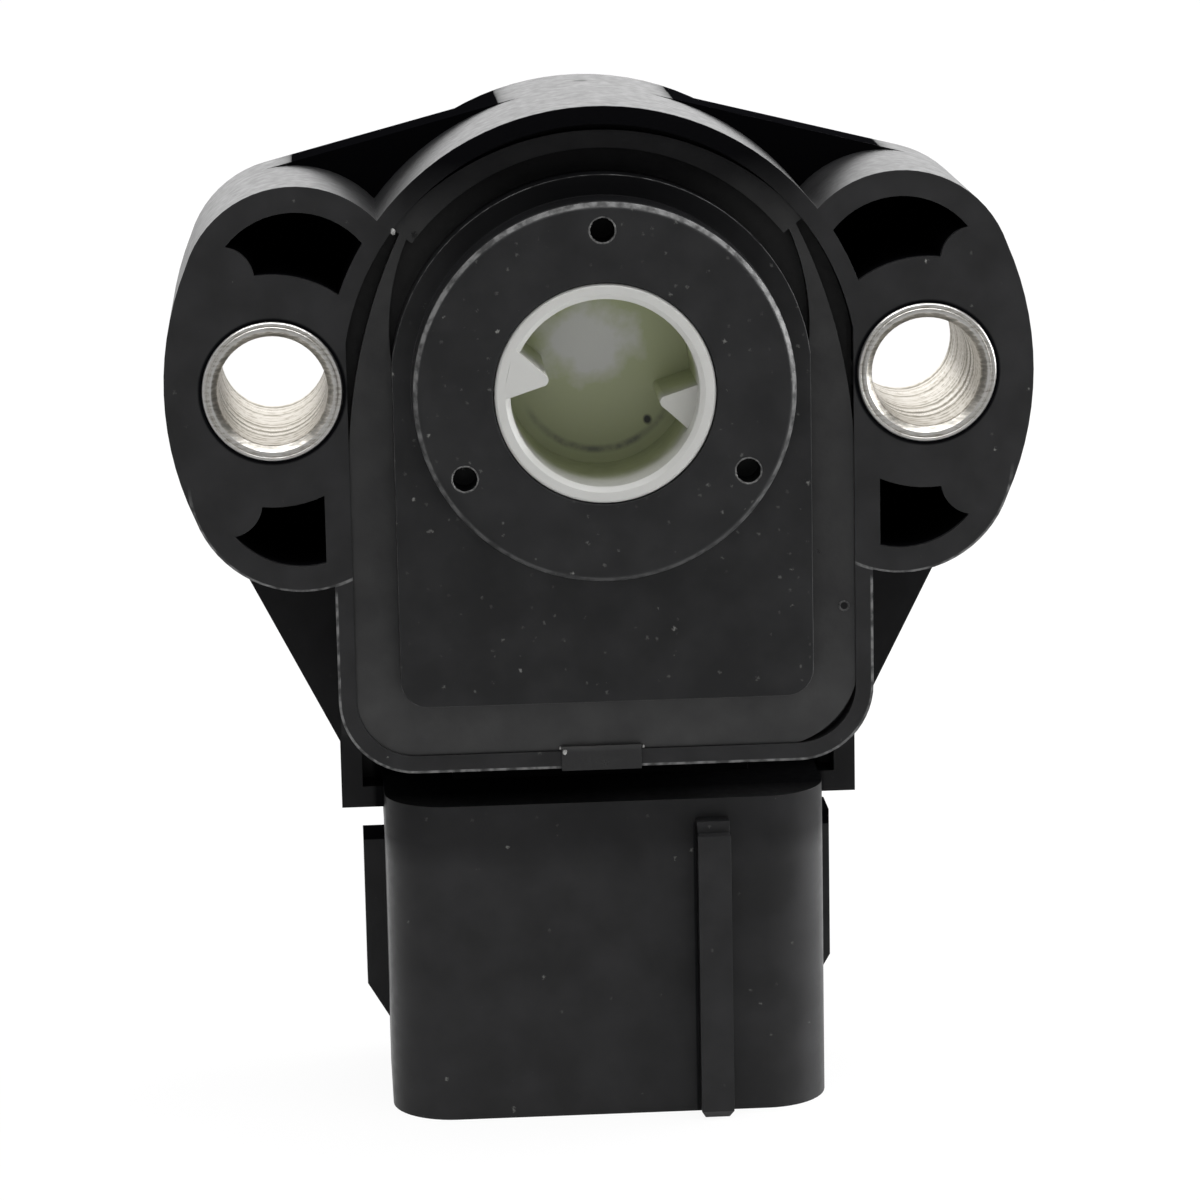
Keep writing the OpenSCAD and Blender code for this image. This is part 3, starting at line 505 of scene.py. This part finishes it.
def pocket_mask(tree, side, y, z):
    """Painted shade on the walls of the core pockets in the ears."""
    far = distance_squared(tree, side, add_math(tree, "ABSOLUTE", z), EAR_CORNER)
    return multiply(tree, between(tree, y, POCKET_FRONT, POCKET_FLOOR, 0.15),
                    spread(tree, far, (28.5, 31), (1, 0)))


def seat_mask(tree, side, y, z):
    """The line round each sleeve."""
    far = distance_squared(tree, side, z, (SCREW_X, 0))
    return spread(tree, far, (17.8, 18.8), (1, 0))


def key_foot_mask(tree, x, y, z):
    """A line of painted shade at the left foot of the key rib, which also reaches the shroud's
    back.
    """
    return multiply(tree, between(tree, x, KEY_LEFT - 0.12, KEY_LEFT + 0.05),
                    spread(tree, z, (KEY_TOP - 0.4, KEY_TOP), (0.7, 0)),
                    spread(tree, y, FACE_FRONT, (0, 1)))


def gate_mask(tree, x, y, z):
    """The small round mark on the top, where the plastic ran in, painted dark as the shade of a
    hollow.
    """
    return multiply(tree, spread(tree, distance_squared(tree, x, y, GATE), (0.12, 0.3), (0.8, 0)),
                    spread(tree, z, GATE_LEVEL, (0, 1)))


# %% The shades of the housing and of the cover
BOSS_EDGE = 10.62
BOSS_ROUND, PLATE_ROUND = (-3.88, -3.66), (-0.9, -0.8)


def housing_shade(tree, x, y, z):
    """The painted shade mask and the painted edge highlight mask of the housing."""
    side = add_math(tree, "ABSOLUTE", x)
    deep = multiply(tree, largest(tree, web_mask(tree, side, y, z), neck_mask(tree, side, y, z)),
                    spread(tree, z, SHROUD_TOP, (0, 1)))
    for mask in (rim_mask, rail_mask, pocket_mask, seat_mask):
        deep = largest(tree, deep, mask(tree, side, y, z))
    for mask in (key_foot_mask, gate_mask):
        deep = largest(tree, deep, mask(tree, x, y, z))
    return deep, painted_edge_highlight(tree, side, y, z)


def cover_shade(tree, x, y, z):
    """Painted shade on the plate above the boss, darker towards the top, and painted highlights
    on the edges of the boss and the plate.
    """
    # Painted shade: the plate and the boss's sides darken towards the top.
    deep = multiply(tree, spread(tree, z, (3, 11.5), (0, 0.85)),
                    spread(tree, y, (-3.6, -3), (0, 1)))
    far = distance_squared(tree, x, z, (0, 0))
    # Painted highlights on the boss's rounded edge, brighter towards the top, and on the plate's
    # edge.
    boss = multiply(tree, between(tree, y, *BOSS_ROUND, 0.06),
                    spread(tree, far, (BOSS_EDGE ** 2, BOSS_EDGE ** 2 + 1.5), (0, 1)),
                    spread(tree, z, (-9, 4), (0.25, 0.95)))
    plate = multiply(tree, between(tree, y, *PLATE_ROUND, 0.03), 0.7)
    return deep, largest(tree, boss, plate)


# %% The two plastics
housing_plastic = moulded_plastic("moulded_black_nylon", (0.017, 0.017, 0.0175),
                                  (0.024, 0.024, 0.025), 0.06, housing_shade)
cover_plastic = moulded_plastic("cover_black_nylon", (0.015, 0.0152, 0.0158),
                                (0.022, 0.0222, 0.023), 0.33, cover_shade)
print("plastics:", housing_plastic.name, "and", cover_plastic.name)

# %% [markdown]
# The epoxy was poured in wet. Its skin is a little lighter than the plastic, with long soft
# waves and a few burst bubbles, so it gets slow relief and sparse dark pits. Where it has
# shrunk from the wall the gap gets black painted shade, and the gutter round the cover gets
# painted shade, which follows from the depth and the distance from the axis. The upper part
# gets the painted shade of the rim beside it, painted shade makes the sides a little darker
# than the foot, and the burst bubble's hollow is painted dark. The run over the lower rim is
# so thin that the black plastic shows through.

# %% Epoxy
GUTTER_EDGE = 13.6
BUBBLE = (14.05, -13.76)
EPOXY_SHINE = 0.4
GAP_SHADE_BLACK, PIT_BLACK = (0.001, 0.001, 0.001), (0.004, 0.004, 0.004)
RUN_BLACK = (0.016, 0.016, 0.0165)


def distance_from_axis(tree, centre=(0, 0), stretch=(1, 1)):
    """Distance in X and Z from a centre, in millimetres over the stretch's scale."""
    flat = place_in_mm(tree, (centre[0], 0, centre[1]), (stretch[0], 0, stretch[1]))
    length = tree.nodes.new("ShaderNodeVectorMath")
    length.operation = "LENGTH"
    tree.links.new(flat, length.inputs[0])
    return length.outputs["Value"]


def gap_shade_mask(tree, y):
    """Painted shade in the gap at the wall and in the gutter round the cover."""
    outwards = spread(tree, distance_from_axis(tree), (GUTTER_EDGE - 0.2, GUTTER_EDGE + 0.3),
                      (0.65, 0.97))
    return multiply(tree, spread(tree, y, (0.45, 0.9), (0, 1)), outwards)


def cured_epoxy():
    material, tree, shader = start_material("cured_epoxy", (0.03, 0.03, 0.0305), 0.4,
                                            specular=EPOXY_SHINE)
    place = place_in_mm(tree)
    _, y, z = split_axes(tree, place)
    pits = add_specks(tree, place, 2.6, 0.2, 0.3)
    # Painted shade: dark at the top, and a little darker on the sides than at the foot.
    dim = largest(tree, spread(tree, z, (7, 12), (0, 0.8)),
                  spread(tree, z, (-19, -13), (0, 0.22)))
    run = spread(tree, z, (-22, -21.8), (0.85, 0))
    # Painted shade in the hollow of the burst bubble.
    burst = spread(tree, distance_from_axis(tree, BUBBLE), (0.16, 0.27), (1, 0))
    tone = add_ramp(tree, add_noise(tree, place, 0.5, 3),
                    [(0.3, (0.026, 0.026, 0.0265)), (0.7, (0.037, 0.037, 0.037))])
    for mask, black in ((pits, PIT_BLACK), (gap_shade_mask(tree, y), GAP_SHADE_BLACK), (dim, PAINTED_SHADE_BLACK),
                        (run, RUN_BLACK), (burst, PAINTED_SHADE_BLACK)):
        tone = blend_color(tree, mask, tone, black)
    tree.links.new(tone, shader.inputs["Base Color"])
    # The painted shade also takes the shine.
    shine = spread(tree, dim, (0, 1), (EPOXY_SHINE, 0))
    tree.links.new(shine, shader.inputs["Specular IOR Level"])
    matt = spread(tree, add_noise(tree, place, 2.4, 2), (0.3, 0.7), (0.34, 0.46))
    tree.links.new(matt, shader.inputs["Roughness"])
    waves = add_math(tree, "SUBTRACT", add_noise(tree, place, 1.3, 2), pits)
    add_relief(tree, shader, waves, 0.09, 0.5)
    return material


epoxy = cured_epoxy()

# %% [markdown]
# The sleeves in the ears are turned from steel bar and plated. A cutting tool leaves rings
# on the end face and a fine thread-like track along the bore. Both follow one number, the
# distance from the sleeve's own axis plus the depth, so one-dimensional noise along that
# number draws them. The Mapping node puts the axis at the sleeve's centre.

# %% Turned and plated steel
STEEL_STOPS = [(0.55, (0.36, 0.35, 0.32)), (0.66, (0.56, 0.53, 0.48)),
               (0.74, (0.82, 0.8, 0.76)), (0.95, (0.95, 0.94, 0.92))]
STEEL_EDGE_TINT = (0.36, 0.34, 0.31, 1)
TRACK_PITCH = 0.6


def turned_steel(name, centre_x):
    material, tree, shader = start_material(name, (0.7, 0.68, 0.64), 0.3, metallic=1.0)
    shader.inputs["Specular Tint"].default_value = STEEL_EDGE_TINT
    _, y, _ = split_axes(tree, place_in_mm(tree))
    track = add_math(tree, "ADD", distance_from_axis(tree, (centre_x / MM, 0)),
                     multiply(tree, y, TRACK_PITCH))
    rings = tree.nodes.new("ShaderNodeTexNoise")
    rings.noise_dimensions = "1D"
    rings.inputs["Scale"].default_value = 2.4
    rings.inputs["Detail"].default_value = 5.0
    tree.links.new(track, rings.inputs["W"])
    scratches = add_noise(tree, place_in_mm(tree, stretch=(0.7, 1, 3)), 2.0, 4)
    wear_and_highlight = add_math(tree, "ADD", rings.outputs[0], multiply(tree, scratches, 0.5))
    tree.links.new(add_ramp(tree, wear_and_highlight, STEEL_STOPS), shader.inputs["Base Color"])
    tree.links.new(spread(tree, wear_and_highlight, (0.5, 1.0), (0.42, 0.26)), shader.inputs["Roughness"])
    add_relief(tree, shader, wear_and_highlight, 0.05, 0.6)
    return material


# %% [markdown]
# The rotor is moulded in natural resin. Its rim looks milky white, and deep in the socket
# the same resin is painted olive: partly painted shade, because less light gets there, and
# partly the tint of what comes back after passing through more of it. The depth along the
# axis is therefore one input of the colour, and noise makes the tone uneven. A soft pale
# patch on the socket's floor is a painted highlight.

# %% Milky resin
RESIN_STOPS = [(0.0, (0.455, 0.455, 0.44)), (0.28, (0.46, 0.46, 0.43)),
               (0.4, (0.42, 0.44, 0.34)), (0.55, (0.39, 0.42, 0.25)),
               (1.0, (0.39, 0.42, 0.255))]
SOCKET_FRONT, SOCKET_FLOOR = -4.0, 3.7
# Painted highlight: a soft pale patch on the socket's floor.
FLOOR_HIGHLIGHT = {"centre": (-0.5, 1.9), "stretch": (1 / 2.9, 1 / 2.4), "wander": 0.28}
STAIN = {"centre": (2.9, -2.9), "stretch": (3.4, 3.0), "wander": 0.25}
FLOOR_HIGHLIGHT_TONE, STAIN_TONE, TIDE_TONE = (0.56, 0.56, 0.56), (0.03, 0.03, 0.035), (0.1, 0.1, 0.11)
TIDE_RADIUS = 4.6


def spot_mask(tree, place, spot):
    """A soft spot in X and Z with an edge that wanders by a noise."""
    far = distance_from_axis(tree, spot["centre"], spot["stretch"])
    wander = spot["wander"]
    edge = spread(tree, add_noise(tree, place, 0.6, 4), (0.3, 0.7), (-wander, wander))
    return spread(tree, add_math(tree, "ADD", far, edge), (0.6, 1.15), (1, 0))


def tide_mask(tree, place, z):
    """A broken dark line round the lower half of the socket's floor."""
    far = add_math(tree, "SUBTRACT", distance_from_axis(tree), TIDE_RADIUS)
    line = spread(tree, add_math(tree, "ABSOLUTE", far), (0.06, 0.3), (0.75, 0))
    broken = spread(tree, add_noise(tree, place, 1.5, 4), (0.4, 0.6), (0.5, 1))
    return multiply(tree, line, spread(tree, z, (-3.4, -1.6), (1, 0)), broken)


# %% Resin finish
def milky_resin():
    material, tree, shader = start_material("natural_resin", (0.5, 0.5, 0.48), 0.4)
    place = place_in_mm(tree)
    _, y, z = split_axes(tree, place)
    # Partly painted shade: the resin turns olive deeper in the socket.
    depth = spread(tree, y, (SOCKET_FRONT, SOCKET_FLOOR), (0, 1))
    drift = spread(tree, add_noise(tree, place, 0.3, 3), (0.3, 0.7), (-0.1, 0.1))
    drifted = add_math(tree, "ADD", depth, multiply(tree, drift, depth))
    color = add_ramp(tree, drifted, RESIN_STOPS)
    on_floor = spread(tree, depth, (0.93, 0.99), (0, 1))
    # The pale patch on the floor is a painted highlight.
    marks = [(spot_mask(tree, place, FLOOR_HIGHLIGHT), FLOOR_HIGHLIGHT_TONE),
             (tide_mask(tree, place, z), TIDE_TONE),
             (spot_mask(tree, place, STAIN), STAIN_TONE)]
    for mask, tone in marks:
        color = blend_color(tree, multiply(tree, mask, on_floor), color, tone)
    tree.links.new(color, shader.inputs["Base Color"])
    rough = spread(tree, add_noise(tree, place, 1.2, 3), (0.3, 0.7), (0.3, 0.45))
    tree.links.new(rough, shader.inputs["Roughness"])
    add_relief(tree, shader, add_noise(tree, place, 3, 3), 0.02, 0.3)
    return material


# %% [markdown]
# The pieces inside are hidden when the sensor is whole, but the plug's blades show in the
# shroud's mouth. Each gets its own metal or ink: tinned blades with a mottled skin, drawn
# spring wire, rolled contact strip, and printed tracks with a slightly grainy skin.

# %% Small metals, inks and the board
def small_finish(name, colors, rough, metallic, grain_mm, depth_mm, stretch=(1, 1, 1)):
    """A finish whose colour, roughness and relief follow one grain."""
    material, tree, shader = start_material(name, colors[0], rough[0], metallic=metallic)
    grain = add_noise(tree, place_in_mm(tree, stretch=stretch), 1 / grain_mm, 4)
    tone = add_ramp(tree, grain, [(0.35, colors[0]), (0.65, colors[1])])
    tree.links.new(tone, shader.inputs["Base Color"])
    tree.links.new(spread(tree, grain, (0.3, 0.7), rough), shader.inputs["Roughness"])
    add_relief(tree, shader, grain, depth_mm, 0.5)
    return material


tinned = small_finish("tinned_blade", ((0.56, 0.55, 0.52), (0.74, 0.73, 0.7)), (0.26, 0.42),
                      1.0, 0.5, 0.01)
drawn_wire = small_finish("drawn_wire", ((0.4, 0.4, 0.41), (0.56, 0.56, 0.58)), (0.22, 0.36),
                          1.0, 0.3, 0.006, (1, 3, 1))
pressed_steel = small_finish("pressed_washer", ((0.5, 0.5, 0.5), (0.66, 0.66, 0.65)),
                             (0.25, 0.4), 1.0, 0.6, 0.008)
contact_strip = small_finish("contact_strip", ((0.62, 0.48, 0.26), (0.78, 0.64, 0.38)),
                             (0.2, 0.34), 1.0, 0.25, 0.006, (1, 1, 4))
laminate = small_finish("board_laminate", ((0.36, 0.29, 0.16), (0.5, 0.42, 0.27)),
                        (0.45, 0.6), 0.0, 0.35, 0.012, (2, 1, 2))
carbon_ink = small_finish("carbon_ink", ((0.012, 0.012, 0.013), (0.03, 0.03, 0.032)),
                          (0.35, 0.5), 0.0, 0.12, 0.006)
silver_ink = small_finish("silver_ink", ((0.5, 0.5, 0.48), (0.66, 0.66, 0.63)), (0.4, 0.55),
                          0.8, 0.12, 0.008)

# %% Give every CAD node its finish
resin = milky_resin()
LIMITER_X = {name: (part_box(name)[0][0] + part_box(name)[1][0]) / 2
             for name in ("limiter_left", "limiter_right")}
NODE_FINISH = {
    "housing": housing_plastic, "cover_plate": cover_plastic, "potting_bead": epoxy,
    "terminal_potting": epoxy, "drive_rotor": resin, "thrust_washer": pressed_steel,
    "wave_washer": drawn_wire, "return_spring": drawn_wire, "wiper_contact": contact_strip,
    "element_board": laminate, "resistor_track": carbon_ink, "collector_track": silver_ink,
    "supply_track": silver_ink, "ground_track": silver_ink, "terminal_supply": tinned,
    "terminal_signal": tinned, "terminal_ground": tinned, "clip_supply": contact_strip,
    "clip_signal": contact_strip, "clip_ground": contact_strip}
for name, centre_x in LIMITER_X.items():
    NODE_FINISH[name] = turned_steel(name + "_plating", centre_x)


def give_finish(piece, finish):
    piece.data.materials.clear()
    piece.data.materials.append(finish)


for name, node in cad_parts.items():
    give_finish(node, NODE_FINISH[name])
print(len(NODE_FINISH), "nodes have a finish")

# %% [markdown]
# The CAD solids have perfectly sharp edges, and nothing moulded, poured or turned does. An
# edge only catches a line of light if it is round. So each visible piece is copied, the
# copy's loose triangles are merged into whole faces, and a bevel rounds every real edge by
# the radius that its process leaves: small on moulded nylon, larger on poured epoxy. The
# copy then stands for its node.

# %% Selecting and copying
SAME_POINT = 0.002 * MM
FLAT_ANGLE = math.radians(0.8)


def select_only(piece):
    bpy.ops.object.select_all(action="DESELECT")
    piece.select_set(True)
    bpy.context.view_layer.objects.active = piece


def copy_of_node(node, name):
    """A copy of a CAD node's mesh with its triangles merged into whole faces."""
    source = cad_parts[node]
    piece = source.copy()
    piece.data = source.data.copy()
    piece.parent = None
    for key in list(piece.keys()):
        del piece[key]
    piece.name = name
    bpy.context.scene.collection.objects.link(piece)
    select_only(piece)
    bpy.ops.object.mode_set(mode="EDIT")
    bpy.ops.mesh.select_all(action="SELECT")
    bpy.ops.mesh.remove_doubles(threshold=SAME_POINT)
    bpy.ops.mesh.dissolve_limited(angle_limit=FLAT_ANGLE)
    bpy.ops.object.mode_set(mode="OBJECT")
    return piece


# %% Outer edges
SHARP_ANGLE = math.radians(28)
SMOOTH_ANGLE = math.radians(32)


def mark_outer_edges(mesh):
    """Gives the sharp edges that stick out a bevel weight of 1."""
    sides = {}
    for face in mesh.polygons:
        for key in face.edge_keys:
            sides.setdefault(key, []).append(face)
    weight = mesh.attributes.new("bevel_weight_edge", "FLOAT", "EDGE")
    for edge in mesh.edges:
        first, second = sides[edge.key]
        across = second.center - mesh.vertices[edge.vertices[0]].co
        sharp = first.normal.angle(second.normal, 0) > SHARP_ANGLE
        if sharp and across.dot(first.normal) < 0:
            weight.data[edge.index].value = 1


# %% [markdown]
# A moulded piece is round at its edges and has a fillet at the foot of each wall, so there
# the bevel takes every sharp edge. The epoxy is different: it fills its corners, and where
# it has shrunk from the wall the gap is thinner than a fillet, so only the edges that stick
# out are rounded. The weighted normals keep wide faces flat beside the rounded strips. A
# bevel is clamped where two would meet, so on the housing and the cover, which have small
# faces, the rounding stays very small, and a painted highlight draws those edges.

# %% Rounding edges
def soften(piece, radius_mm, segments, outer_only):
    """Rounds the sharp edges and shades the curved faces smooth."""
    select_only(piece)
    bevel = piece.modifiers.new("edge_round", "BEVEL")
    bevel.width = radius_mm * MM
    bevel.segments = segments
    bevel.angle_limit = SHARP_ANGLE
    if outer_only:
        mark_outer_edges(piece.data)
        bevel.limit_method = "WEIGHT"
    bevel.use_clamp_overlap = True
    bpy.ops.object.modifier_apply(modifier=bevel.name)
    bpy.ops.object.shade_smooth_by_angle(angle=SMOOTH_ANGLE)
    flat = piece.modifiers.new("flat_faces", "WEIGHTED_NORMAL")
    flat.keep_sharp = True
    bpy.ops.object.modifier_apply(modifier=flat.name)
    return piece


def softened_copy(node, name, radius_mm, body, segments=3, outer_only=False):
    piece = soften(copy_of_node(node, name), radius_mm, segments, outer_only)
    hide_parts(node)
    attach(piece, body)
    print(name, len(piece.data.polygons), "faces")


# %% The moulded and poured pieces
softened_copy("housing", "housing_shell", 0.2, "sensor_body")
softened_copy("cover_plate", "cover_shell", 0.21, "sensor_body")
softened_copy("potting_bead", "epoxy_shell", 0.22, "sensor_body", 4,
              outer_only=True)
softened_copy("drive_rotor", "socket_shell", 0.12, "rotor")

# %% The turned sleeves and the blades
for side in ("left", "right"):
    softened_copy("limiter_" + side, "sleeve_" + side, 0.05, "sensor_body", 2)
for use in ("supply", "signal", "ground"):
    softened_copy("terminal_" + use, "blade_" + use, 0.1, "sensor_body", 2)

# %% [markdown]
# A few things on the real sensor are too small for any drawing. The pins that formed the
# boss's three blind holes left a thin torn lip round each, a bubble has burst in the epoxy
# at the lower right, and pale crumbs of dry epoxy stick beside the run and at the left ear.
# Each is a ring or a ball whose points are moved a little at random, because a perfect one
# would look like a part of its own. All sit half sunk in the face that they belong to.

# %% Finishes of the small things
torn_nylon = small_finish("torn_nylon", ((0.035, 0.035, 0.035), (0.15, 0.15, 0.148)),
                          (0.3, 0.45), 0.0, 0.25, 0.01)
dry_epoxy = small_finish("dry_epoxy", ((0.2, 0.2, 0.195), (0.42, 0.42, 0.41)),
                         (0.35, 0.5), 0.0, 0.1, 0.01)
thin_epoxy = small_finish("thin_epoxy", ((0.03, 0.03, 0.03), (0.07, 0.07, 0.07)),
                          (0.25, 0.4), 0.0, 0.2, 0.01)


# %% Roughening and seating
def roughen(piece, step_mm, seed):
    """Moves the points a little at random and keeps the piece's place in its mesh."""
    select_only(piece)
    bpy.ops.object.mode_set(mode="EDIT")
    bpy.ops.mesh.select_all(action="SELECT")
    bpy.ops.transform.vertex_random(offset=step_mm * MM, uniform=0.5, seed=seed)
    bpy.ops.object.mode_set(mode="OBJECT")
    bpy.ops.object.transform_apply(location=True, rotation=True, scale=True)
    bpy.ops.object.shade_smooth()


def seat(piece, name, finish):
    """Names a small piece, gives it its finish and puts it on the sensor's body."""
    piece.name = name
    give_finish(piece, finish)
    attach(piece, "sensor_body")


# %% Torn lips and the burst bubble
BOSS_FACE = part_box("cover_plate")[0][1] / MM
LIPS = {"lip_top": (0, 9.4), "lip_left": (-8.14, -4.7), "lip_right": (8.14, -4.7)}
LIP_RADIUS, LIP_THICK, LIP_SUNK = 0.77, 0.14, 0.09
BUBBLE_SEED = 7


def add_torn_ring(name, centre, radius_mm, thick_mm, finish, seed):
    bpy.ops.object.select_all(action="DESELECT")
    bpy.ops.mesh.primitive_torus_add(
        location=Vector(centre) * MM, rotation=(math.radians(90), 0, 0), major_segments=44,
        minor_segments=8, major_radius=radius_mm * MM, minor_radius=thick_mm / 2 * MM)
    ring = bpy.context.object
    roughen(ring, thick_mm * 0.22, seed)
    seat(ring, name, finish)
    return ring


for number, (name, (x, z)) in enumerate(LIPS.items()):
    lip = add_torn_ring(name, (x, BOSS_FACE + LIP_SUNK, z), LIP_RADIUS, LIP_THICK,
                        torn_nylon, number)
    print(name, "of", len(lip.data.polygons), "faces round a blind hole")
add_torn_ring("burst_bubble", (BUBBLE[0], 0.26, BUBBLE[1]), 0.27, 0.12, thin_epoxy,
              BUBBLE_SEED)

# %% Crumbs of dry epoxy
CRUMBS = {"crumb_ear": ((-11.78, 0.08, 9.1), 0.34),
          "crumb_run": ((-2.57, -0.06, -21.98), 0.3),
          "crumb_run_small": ((-2.82, 0.08, -21.76), 0.17),
          "crumb_run_right": ((2.08, 0.12, -21.82), 0.16)}


def add_crumb(name, centre, size_mm, seed):
    bpy.ops.object.select_all(action="DESELECT")
    bpy.ops.mesh.primitive_ico_sphere_add(subdivisions=2, radius=size_mm / 2 * MM,
                                          location=Vector(centre) * MM, scale=(0.8, 0.7, 1.2))
    crumb = bpy.context.object
    roughen(crumb, size_mm * 0.12, seed)
    seat(crumb, name, dry_epoxy)
    return crumb


for number, (name, (centre, size_mm)) in enumerate(CRUMBS.items()):
    print(add_crumb(name, centre, size_mm, number).name, size_mm, "mm")
